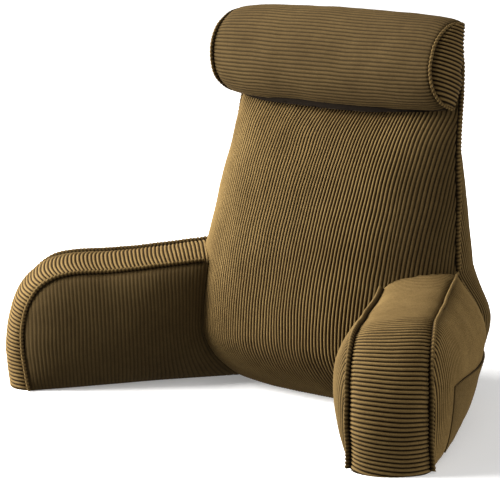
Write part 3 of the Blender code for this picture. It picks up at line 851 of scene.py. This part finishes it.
def bolster_cap(cloth, sign):
    """Half-round end, its ribs running from the flat side to the round one."""
    ring = bolster_ring(BOLSTER_TURN, sign)
    centre = np.array([ring[0, 0], *BOLSTER_CENTRE[1:]])
    forward = np.array([0, -math.cos(BOLSTER_LEAN), math.sin(BOLSTER_LEAN)])
    up = np.array([0, math.sin(BOLSTER_LEAN), math.cos(BOLSTER_LEAN)])
    f, u = (ring - centre) @ forward, (ring - centre) @ up
    top, bottom = np.argmax(u), np.argmin(u)
    is_front = np.zeros(len(u), bool)
    is_front[:top + 1] = True
    is_front[bottom:] = True
    levels, pile = rib_stations(u[bottom], u[top])
    edges = []
    for half in (is_front, ~is_front):
        order = np.argsort(u[half])
        edges.append(np.interp(levels, u[half][order], f[half][order]))
    share = np.linspace(0, 1, CAP_ROWS)[:, None]
    depth = lerp(edges[1][None, :], edges[0][None, :], share)
    tall = 2 * (levels - u[bottom]) / (u[top] - u[bottom]) - 1
    dome = BOLSTER_END_DOME * crown(2 * share - 1) * crown(tall)[None, :]
    grid = (centre + depth[..., None] * forward + levels[None, :, None] * up
            + (sign * dome)[..., None] * np.array([1.0, 0, 0]))
    out = surface_out(grid, np.array([sign, 0, 0]))
    cloth.add(grid, pile, out, "all")


def bolster_cloth():
    """The roll and its two caps."""
    cloth = Cloth()
    ring = bolster_ring(BOLSTER_TURN, 0.0)
    share, pile = evenly_round(ring)
    run = run_along(ring)
    turn = np.interp(share * run[-1], run, BOLSTER_TURN) / np.pi
    first, last = BOLSTER_FLAT_SHADOW_TURN
    # Painted shadow under the bolster: there the pile is flat and takes the dark colour between
    # ribs.
    pile = np.where((turn > first) & (turn < last), BOLSTER_FLAT_SHADOW, pile)
    grid = []
    for way in np.linspace(-1, 1, BOLSTER_ROWS):
        ring = bolster_ring(BOLSTER_TURN, way)
        run = run_along(ring)
        grid.append(at_run(share * run[-1], run, ring))
    grid = np.array(grid)
    cloth.add(grid, pile, surface_out(grid, grid - grid.mean(axis=1, keepdims=True)),
              ("bottom", "top"), NAP_AND_PAINTED_LIGHT["bolster"], DEPTH["bolster"])
    for sign in SIDES.values():
        bolster_cap(cloth, sign)
    return cloth


bolster = bolster_cloth().build("neck_bolster_cover")
print("bolster:", len(bolster.data.polygons), "quads")

# %% [markdown]
# ## Raised seams
# The panels are joined by raised seams: both edges are folded together and stand up as
# a narrow flange. Ribs run over the fold, so its edge is a row of small lobes, like a
# twisted cord. Each flange is a section swept along its seam. The section has a foot on
# either panel, a body and a round fold, and it swells and thins with the ribs.

# %% Section of a raised seam
WELT_HEIGHT = 0.0085
WELT_THICKNESS = 0.0042
BOLSTER_WELT_HEIGHT = 0.0060
REAR_WELT_HEIGHT = 0.0045
WELT_FOOT = 0.0010                  # it starts this far under the pile
WELT_SECTION = (                    # up, sideways: shares of height and of half thickness
    (0.30, 0.80), (0.62, 0.95), (0.84, 0.88), (0.96, 0.50), (1.00, 0.00),
    (0.96, -0.50), (0.84, -0.88), (0.62, -0.95), (0.30, -0.80))
WELT_SAMPLES = 5                    # to a lobe
WELT_LOBE = 0.18                    # how far a lobe swells and thins
# Painted shade in the gaps between a flange's lobes.
WELT_LOBE_SHADE = 0.22              # and how far its colour goes towards the gaps'
WELT_TWIST = 1.6                    # radians that a lobe turns from side to side
BACK_WELT_TILT = 0.5
BACK_WELT_UPRIGHT = 0.05
REAR_WELT_TILT = 0.4
BOLSTER_WELT_REAR_SHARE = 0.35
SEAM_BESIDE = 0.006                 # from a seam to the next line on its panel


def facing(normals, hint):
    """Unit normals turned to the side that hint points to."""
    return unit(normals * np.sign(np.sum(normals * hint, axis=-1, keepdims=True)))


def evenly(lines, step, closed=False):
    """Matching polylines cut into equal steps of the first one."""
    if closed:
        lines = [np.concatenate([line, line[:1]]) for line in lines]
    run = run_along(lines[0])
    place = np.linspace(0, run[-1], max(round(run[-1] / step), 2) + 1)
    return place, [at_run(place, run, line) for line in lines]


def raised_seam(name, lines, outward, height, tilt=0.0, closed=False):
    """Flange along a seam. lines are the seam and the two panels' next lines.

    outward is None where the panels meet in a sharp edge.
    """
    extra = [np.stack([0 * lines[0][:, 0] + height, 0 * lines[0][:, 0] + tilt,
                       0 * lines[0][:, 0]], -1)]
    hint = [np.broadcast_to(outward, lines[0].shape)] if outward is not None else []
    run, cut = evenly(list(lines) + extra + hint, RIB_PITCH / WELT_SAMPLES, closed)
    seam, one, other, sizes = cut[:4]
    tangent = unit(np.gradient(seam, axis=0))
    if closed:
        tangent[0] = tangent[-1] = unit(seam[1] - seam[-2])
    to_one, to_other = unit(one - seam), unit(other - seam)
    off_one = facing(np.cross(to_one, tangent), cut[4] if hint else -to_other)
    off_other = facing(np.cross(to_other, tangent), cut[4] if hint else -to_one)
    up = unit(unit(off_one + off_other) + sizes[:, 1:2] * np.array([0, 1.0, 0]))
    wide = to_one - to_other
    wide = unit(wide - np.sum(wide * up, axis=1, keepdims=True) * up)
    tall, half = sizes[:, :1], 0.5 * WELT_THICKNESS
    rings = [seam + half * to_one - WELT_FOOT * off_one]
    pile, outs = [np.zeros(len(seam))], [wide]
    for rise, aside in WELT_SECTION:
        lobe = np.cos(2 * np.pi * run / RIB_PITCH + WELT_TWIST * aside)
        swell = 1 + WELT_LOBE * lobe[:, None] * rise
        rings.append(seam + rise * tall * (0.5 + 0.5 * swell) * up + aside * half * swell * wide)
        # The flange's pile is never raised, so this is colour alone: its foot and the gaps
        # between its lobes take the dark colour between ribs, a painted shade.
        pile.append(rise ** 0.5 * (1 - WELT_LOBE_SHADE + WELT_LOBE_SHADE * lobe))
        outs.append(unit(aside * wide + 0.6 * rise * up))
    rings.append(seam + half * to_other - WELT_FOOT * off_other)
    pile.append(np.zeros(len(seam)))
    outs.append(-wide)
    cloth = Cloth()
    grid, pile, out = (np.stack(value, axis=1) for value in (rings, pile, outs))
    cloth.add(grid, pile, out, ())
    cap = grid[[0, -1]].mean(axis=1, keepdims=True)
    if not closed:
        for end, place in ((0, grid[:1]), (1, grid[-1:])):
            mouth = np.concatenate([place, np.broadcast_to(cap[end], place.shape)])
            way = (-tangent[0], tangent[-1])[end]
            # The ends take the same dark colour, as painted shade.
            cloth.add(mouth, 0.0, np.broadcast_to(way, mouth.shape), ())
    return cloth.build(name)


# %% Where the raised seams run
def inset_line(side, name, inset=SEAM_BESIDE):
    """Line on an arm's side panel, a little inside its curved seam."""
    panel = PANELS[side, name]
    step_s, step_z = np.gradient(panel.along), np.gradient(panel.up)
    size = np.maximum(np.hypot(step_s, step_z), 1e-9)
    s = panel.along + inset * step_z / size
    z = panel.up - inset * step_s / size
    low = panel.rear_along[0] if name == "outer" else 0.0
    return panel.place(np.maximum(s, low), np.clip(z, 0, None))


def ends_cut(lines, start, end):
    """Matching polylines without their first and last few points."""
    return [line[start:len(line) - end] for line in lines]


def arm_welts(side):
    """The three raised seams of an arm."""
    table, outward = STRIPS[side]
    across = arm_frame(side)[1]
    made = []
    for name, edge, beside, way in (("inner", 0, 1, -across), ("outer", -1, -2, across)):
        lines = [table[:, edge], table[:, beside], inset_line(side, name)]
        made.append(raised_seam(name + "_arm_seam_" + side, ends_cut(lines, 3, 1),
                                (outward + way)[3:-1], WELT_HEIGHT))
    panel = PANELS[side, "outer"]
    z = np.linspace(OUTER_START_Z, 0.003, STEPS_LOW)
    rear = np.interp(z, panel.rear_z, panel.rear_along)
    back = BACK[:STEPS_LOW + 1, 3 if side == "left" else -4]
    lines = [panel.place(rear, z), panel.place(rear + SEAM_BESIDE, z),
             at_run(z, back[:, 2], back)]
    hint = np.array([[SIDES[side], REAR_WELT_TILT, 0.0]])
    made.append(raised_seam("rear_arm_seam_" + side, ends_cut(lines, 3, 1), hint,
                            REAR_WELT_HEIGHT))
    return made


def back_rest_welt():
    """Up one side of the back rest, over its top and down the other."""
    front, back = FRONT_HIGH, BACK[STEPS_LOW:]
    lines = [np.concatenate([front[:-1, -1], front[-1, ::-1], front[-2::-1, 0]])]
    for grid in (front, back):
        lines.append(np.concatenate([grid[:-1, -5], grid[-9, -5:-4], grid[-9, ::-1][1:-1],
                                     grid[-9, 4:5], grid[-2::-1, 4]]))
    below = (BACK_TOP - lines[0][:, 2]) / BACK_WELT_UPRIGHT
    tilt = BACK_WELT_TILT * np.clip(below, 0, 1)
    return raised_seam("back_rest_seam", ends_cut(lines, 2, 2), None, WELT_HEIGHT, tilt[2:-2])


def bolster_welt(side):
    """Round one end of the bolster."""
    sign = SIDES[side]
    ring = bolster_ring(BOLSTER_TURN[:-1], sign)
    inside = bolster_ring(BOLSTER_TURN[:-1], sign * 0.97)
    middle = ring.mean(axis=0)
    dome = lerp(middle, ring, 0.8) + [sign * BOLSTER_END_DOME * crown(0.8), 0, 0]
    outward = unit(ring - middle) + np.array([sign, 0, 0])
    ahead = np.clip((middle[1] - ring[:, 1]) / BOLSTER_DEPTH + 0.5, BOLSTER_WELT_REAR_SHARE, 1)
    return raised_seam("bolster_seam_" + side, [ring, inside, dome], outward,
                       BOLSTER_WELT_HEIGHT * ahead, closed=True)


welts = {"back_rest_welt": back_rest_welt()}
for side in SIDES:
    for part, thing in zip(("inner", "outer", "rear"), arm_welts(side)):
        welts[part + "_arm_welt_" + side] = thing
    welts["bolster_welt_" + side] = bolster_welt(side)
print("raised seams:", {name: len(thing.data.polygons) for name, thing in welts.items()})

# %% [markdown]
# ## The side pocket
# A patch of the same corduroy is sewn on the outside of the right arm, closed on three
# sides. Its ribs line up with the panel's. Its mouth stands away from the arm a little,
# and shows as a dark slanting line. Its foot and its rear end are guesses.

# %% Side pocket
POCKET_ALONG = (-0.020, 0.257)      # places along the right outer panel
POCKET_MOUTH = (0.092, 0.105)       # height of its mouth at the rear and at the front
POCKET_FOOT = 0.012
POCKET_THICKNESS = 0.0022
POCKET_GAPE = 0.0022
POCKET_ROWS = 16
POCKET_RELIEF = 0.6                 # of the pile's height, so that its area stays near flat


def side_pocket():
    """Patch pocket as one sheet of cloth over the panel."""
    panel = PANELS["right", "outer"]
    s, pile = rib_stations(*POCKET_ALONG)
    share = np.linspace(0, 1, len(s))
    top = lerp(*POCKET_MOUTH, share)
    rise = np.linspace(0, 1, POCKET_ROWS)[:, None]
    z = POCKET_FOOT + rise * (top - POCKET_FOOT)[None, :]
    grid = panel.place(np.broadcast_to(s, z.shape), z)
    out = surface_out(grid, panel.swell_way)
    gape = POCKET_GAPE * rise ** 6 * np.sin(np.pi * share)[None, :] ** 0.5
    grid = grid + (POCKET_THICKNESS + gape)[..., None] * out
    cloth = Cloth()
    cloth.add(grid, pile, out, "all")
    width = run_along(grid[POCKET_ROWS // 2])[-1]
    return cloth.build("side_pocket_patch"), (width, float(top.mean()) - POCKET_FOOT)


pocket, pocket_size = side_pocket()
print("pocket is cut to", [round(value, 3) for value in pocket_size], "m")

# %% [markdown]
# ## Colours and finishes
# Colours are written as they look on a screen and turned to the linear values that the
# renderer mixes. One small function adds any node with its settings and links.

# %% Helpers for node trees
def linear(hex_colour):
    """sRGB hex colour as linear RGBA."""
    parts = [int(hex_colour[i:i + 2], 16) / 255 for i in (1, 3, 5)]
    return tuple(p / 12.92 if p <= 0.04045 else ((p + 0.055) / 1.055) ** 2.4
                 for p in parts) + (1.0,)


def add_node(tree, kind, settings=None, links=None):
    """Add a node. settings are properties or unlinked inputs, links feed inputs."""
    node = tree.nodes.new(kind)
    for name, value in (settings or {}).items():
        if isinstance(name, int) or name in node.inputs:
            node.inputs[name].default_value = value
        else:
            setattr(node, name, value)
    for name, source in (links or {}).items():
        tree.links.new(source, node.inputs[name])
    return node


# %% [markdown]
# ## Cut-pile cotton corduroy
# Cotton pile scatters light and hardly shines, but its brushed tips catch a soft sheen.
# Deep between the ribs the colour is painted almost black brown, as shade. The pile leans one
# way or the other where hands have stroked it, so its tone drifts in wide soft patches.
# Single tufts are about 0.3 mm, too fine for this view, so they are drawn at 1 mm.

# The colours were matched together with the lights, to one photo.

# %% Corduroy material
CREST = "#705b37"
# Painted shade: low pile takes this colour, between the ribs, at turned-in seam edges, at the
# feet and ends of raised seams and on the bolster's underside.
GROOVE_SHADE = "#110902"
SHADED = "#4f3d21"          # pile that leans away
TUFT_SIZE = 0.001
PATCH_SIZE = 0.09
STREAK_SIZE = 0.012


def corduroy(name):
    """Cotton corduroy: brushed ribs, painted dark between them as shade."""
    material = bpy.data.materials.new(name)
    material.use_nodes = True
    tree = material.node_tree
    shader = tree.nodes["Principled BSDF"]
    shader.inputs["Roughness"].default_value = 0.95
    shader.inputs["Specular IOR Level"].default_value = 0.05
    shader.inputs["Sheen Weight"].default_value = 0.06
    shader.inputs["Sheen Roughness"].default_value = 0.45
    shader.inputs["Sheen Tint"].default_value = linear("#d9b070")
    where = add_node(tree, "ShaderNodeTexCoord").outputs["Object"]
    pile = add_node(tree, "ShaderNodeAttribute", {"attribute_name": "pile"}).outputs["Fac"]
    patch, streak, tuft = (
        add_node(tree, "ShaderNodeTexNoise", {"Scale": 1 / size, "Detail": detail},
                 {"Vector": where}).outputs["Fac"]
        for size, detail in ((PATCH_SIZE, 3.0), (STREAK_SIZE, 2.0), (TUFT_SIZE, 1.0)))
    mixed = add_node(tree, "ShaderNodeMath", {"operation": "MULTIPLY_ADD", 1: 0.45},
                     {0: streak, 2: patch})
    lean = add_node(tree, "ShaderNodeMapRange",
                    {"From Min": 0.50, "From Max": 0.95, "To Min": 0.0, "To Max": 0.55},
                    {"Value": mixed.outputs[0]})
    top = add_node(tree, "ShaderNodeMix",
                   {"data_type": "RGBA", 6: linear(CREST), 7: linear(SHADED)},
                   {0: lean.outputs[0]})
    # How much of the painted shade between the ribs a point takes, from its pile.
    groove_shade = add_node(tree, "ShaderNodeMapRange",
                      {"From Min": 0.30, "From Max": 1.00, "To Min": 0.0, "To Max": 1.0,
                       "interpolation_type": "SMOOTHSTEP"}, {"Value": pile})
    rib = add_node(tree, "ShaderNodeMix", {"data_type": "RGBA", 6: linear(GROOVE_SHADE)},
                   {0: groove_shade.outputs[0], 7: top.outputs[2]})
    speck = add_node(tree, "ShaderNodeMapRange",
                     {"From Min": 0.3, "From Max": 0.7, "To Min": 0.78, "To Max": 1.18},
                     {"Value": tuft})
    # Colour factor of each panel: partly the lie of the pile, mostly painted light and shade.
    nap_and_painted_light = add_node(tree, "ShaderNodeAttribute", {"attribute_name": "nap_and_painted_light"}).outputs["Fac"]
    grain = add_node(tree, "ShaderNodeMath", {"operation": "MULTIPLY"},
                     {0: speck.outputs[0], 1: nap_and_painted_light})
    shade = add_node(tree, "ShaderNodeVectorMath", {"operation": "SCALE"},
                     {0: rib.outputs[2], "Scale": grain.outputs[0]})
    tree.links.new(shade.outputs[0], shader.inputs["Base Color"])
    bump = add_node(tree, "ShaderNodeBump", {"Strength": 0.35, "Distance": 0.0006},
                    {"Height": tuft})
    tree.links.new(bump.outputs["Normal"], shader.inputs["Normal"])
    return material


cover_finish = corduroy("jumbo_corduroy")
print("finish:", cover_finish.name)

# %% [markdown]
# ## Raising the pile with Geometry Nodes
# The columns already lie on the ribs, and each point knows how much pile stands there.
# The tree pushes it out by that much, varies the height a little from place to place,
# and lets the ribs wander by a fraction of a millimetre, because no rib is quite straight.

# %% Pile tree
PILE_VARIATION = 0.25
RIB_WANDER = 0.0010
WANDER_SIZE = 0.035
SLACK = 0.0060              # the stuffing is lumpy by about a third of this
SLACK_SIZE = 0.085


def pile_tree(material):
    """Geometry Nodes tree that raises the pile."""
    tree = bpy.data.node_groups.new("raise_the_pile", "GeometryNodeTree")
    face = tree.interface
    face.new_socket("Geometry", in_out="INPUT", socket_type="NodeSocketGeometry")
    for name, value in (("Pile height", PILE_HEIGHT), ("Variation", PILE_VARIATION),
                        ("Wander", RIB_WANDER), ("Slack", SLACK)):
        socket = face.new_socket(name, in_out="INPUT", socket_type="NodeSocketFloat")
        socket.default_value = value
    face.new_socket("Geometry", in_out="OUTPUT", socket_type="NodeSocketGeometry")
    given = add_node(tree, "NodeGroupInput")
    pile = add_node(tree, "GeometryNodeInputNamedAttribute",
                    {"data_type": "FLOAT", "Name": "pile"})
    out = add_node(tree, "GeometryNodeInputNamedAttribute",
                   {"data_type": "FLOAT_VECTOR", "Name": "out"})
    noises, shifts = {}, {}
    for name, seed, size, detail in (("Wander", 3.0, WANDER_SIZE, 2.0),
                                     ("Slack", 7.0, SLACK_SIZE, 1.0)):
        noises[name] = add_node(tree, "ShaderNodeTexNoise",
                                {"noise_dimensions": "4D", "W": seed, "Scale": 1 / size,
                                 "Detail": detail})
        around = add_node(tree, "ShaderNodeVectorMath",
                          {"operation": "SUBTRACT", 1: (0.5, 0.5, 0.5)},
                          {0: noises[name].outputs["Color"]})
        shifts[name] = add_node(tree, "ShaderNodeVectorMath", {"operation": "SCALE"},
                                {0: around.outputs[0], "Scale": given.outputs[name]})
    uneven = add_node(tree, "ShaderNodeMath", {"operation": "MULTIPLY"},
                      {0: noises["Wander"].outputs["Fac"], 1: given.outputs["Variation"]})
    fuller = add_node(tree, "ShaderNodeMath", {"operation": "SUBTRACT", 0: 1.0},
                      {1: uneven.outputs[0]})
    tall = add_node(tree, "ShaderNodeMath", {"operation": "MULTIPLY"},
                    {0: pile.outputs["Attribute"], 1: fuller.outputs[0]})
    centred = add_node(tree, "ShaderNodeMath", {"operation": "SUBTRACT", 1: 0.5},
                       {0: tall.outputs[0]})
    height = add_node(tree, "ShaderNodeMath", {"operation": "MULTIPLY"},
                      {0: centred.outputs[0], 1: given.outputs["Pile height"]})
    push = add_node(tree, "ShaderNodeVectorMath", {"operation": "SCALE"},
                    {0: out.outputs["Attribute"], "Scale": height.outputs[0]})
    moved = push
    for name in ("Slack", "Wander"):
        moved = add_node(tree, "ShaderNodeVectorMath", {"operation": "ADD"},
                         {0: moved.outputs[0], 1: shifts[name].outputs[0]})
    laid = add_node(tree, "GeometryNodeSetPosition", None,
                    {"Geometry": given.outputs["Geometry"], "Offset": moved.outputs[0]})
    real = add_node(tree, "GeometryNodeRealizeInstances", None,
                    {"Geometry": laid.outputs[0]})
    dressed = add_node(tree, "GeometryNodeSetMaterial", {"Material": material},
                       {"Geometry": real.outputs[0]})
    add_node(tree, "NodeGroupOutput", None, {"Geometry": dressed.outputs[0]})
    return tree


def grown(thing, tree, values):
    """Run a tree on a piece and keep the result as its plain mesh."""
    modifier = thing.modifiers.new(tree.name, "NODES")
    modifier.node_group = tree
    for item in tree.interface.items_tree:
        if item.in_out == "INPUT" and item.name in values:
            modifier[item.identifier] = values[item.name]
    graph = bpy.context.evaluated_depsgraph_get()
    data = bpy.data.meshes.new_from_object(
        thing.evaluated_get(graph), preserve_all_data_layers=True, depsgraph=graph)
    thing.modifiers.remove(modifier)
    thing.data = data
    return thing


def smooth_and_level(thing):
    """Shade smooth, and keep the pile above the floor."""
    mesh = thing.data
    mesh.shade_smooth()
    points = np.empty(len(mesh.vertices) * 3, np.float32)
    mesh.vertices.foreach_get("co", points)
    points = points.reshape(-1, 3)
    points[:, 2] = np.maximum(points[:, 2], 0.0)
    mesh.vertices.foreach_set("co", points.ravel())
    mesh.update()
    return len(mesh.loop_triangles)


raise_pile = pile_tree(cover_finish)
for thing in (cover, bolster, pocket):
    relief = POCKET_RELIEF if thing == pocket else 1
    grown(thing, raise_pile, {"Pile height": PILE_HEIGHT * relief})
    print(thing.name, smooth_and_level(thing), "triangles")
for thing in welts.values():
    grown(thing, raise_pile, {"Pile height": 0.0})
    smooth_and_level(thing)
base.data.materials.append(cover_finish)

# %% The cloth takes the solids' places
for thing, node in ((cover, "back_rest_and_arms"), (bolster, "neck_bolster")):
    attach(thing, "root")
    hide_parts(node)
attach(base, "root")

for name, thing in welts.items():
    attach(thing, "root")
    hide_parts(name)
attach(pocket, "root")
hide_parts("side_pocket")

# %% [markdown]
# ## Floor and light
# A pale floor and soft studio light: one large lamp in front on the left, and a reflector
# on the right in a dim room. Trial lights were fitted to one photo by least squares and
# then changed, so they look near it, but the real lights are not known. The floor
# glows away from the cushion, like an overexposed white ground, and doesn't light it.

# %% Floor
FLOOR_SIZE = 12.0
# The floor glows, a painted light, and the glow is weaker near the cushion, so that a soft
# painted shadow lies round it.
GLOW_REACH = (0.45, 1.7)            # metres from the middle, and the glow's strength there
GLOW_STRENGTH = (0.24, 0.85)


def pale_floor():
    """Plain pale floor that glows, less near the cushion, which paints a soft shadow round it.
    """
    mesh = bmesh.new()
    bmesh.ops.create_grid(mesh, x_segments=1, y_segments=1, size=FLOOR_SIZE / 2)
    thing = from_bmesh("floor", mesh)
    material = bpy.data.materials.new("glowing_white_floor")
    material.use_nodes = True
    shader = material.node_tree.nodes["Principled BSDF"]
    shader.inputs["Base Color"].default_value = linear("#f4f3f1")
    shader.inputs["Roughness"].default_value = 1.0
    shader.inputs["Specular IOR Level"].default_value = 0.0
    shader.inputs["Emission Color"].default_value = linear("#ffffff")
    tree = material.node_tree
    where = add_node(tree, "ShaderNodeTexCoord").outputs["Object"]
    away = add_node(tree, "ShaderNodeVectorMath", {"operation": "LENGTH"}, {0: where})
    glow = add_node(tree, "ShaderNodeMapRange",
                    {"From Min": GLOW_REACH[0], "From Max": GLOW_REACH[1],
                     "To Min": GLOW_STRENGTH[0], "To Max": GLOW_STRENGTH[1]},
                    {"Value": away.outputs["Value"]})
    tree.links.new(glow.outputs[0], shader.inputs["Emission Strength"])
    thing.data.materials.append(material)
    thing.visible_diffuse = False
    return thing


pale_floor()

# %% Lights
KEY_PLACE = (-1.95, -1.20, 1.25)
KEY_TARGET = (0.0, 0.0, 0.2)
KEY_SIZE = 2.3
KEY_POWER = 400.0
REFLECTOR_WAY = (0.97, 0.17, 0.17)
REFLECTOR_LEVEL = 1.45
ROOM_LEVEL = 0.08


def soft_light(name, place, target, size, power):
    """Square area light at place, turned to target."""
    data = bpy.data.lights.new(name, "AREA")
    data.size = size
    data.energy = power
    lamp = linked(name, data)
    lamp.location = place
    way = Vector(target) - Vector(place)
    lamp.rotation_euler = way.to_track_quat("-Z", "Y").to_euler()
    return lamp


def studio_world(side, room):
    """A reflector to the right of the cushion, in a dim room."""
    world = bpy.data.worlds.new("studio")
    bpy.context.scene.world = world
    world.use_nodes = True
    tree = world.node_tree
    way = add_node(tree, "ShaderNodeTexCoord").outputs["Generated"]
    toward = add_node(tree, "ShaderNodeVectorMath",
                      {"operation": "DOT_PRODUCT", 1: REFLECTOR_WAY}, {0: way})
    level = add_node(tree, "ShaderNodeMapRange",
                     {"From Min": 0.0, "From Max": 1.0, "To Min": room, "To Max": side},
                     {"Value": toward.outputs["Value"]})
    tree.links.new(level.outputs[0], tree.nodes["Background"].inputs["Strength"])
    tree.nodes["Background"].inputs["Color"].default_value = (1.0, 1.0, 1.0, 1.0)


soft_light("key", KEY_PLACE, KEY_TARGET, KEY_SIZE, KEY_POWER)
studio_world(REFLECTOR_LEVEL, ROOM_LEVEL)
bpy.context.scene.view_settings.view_transform = "Standard"
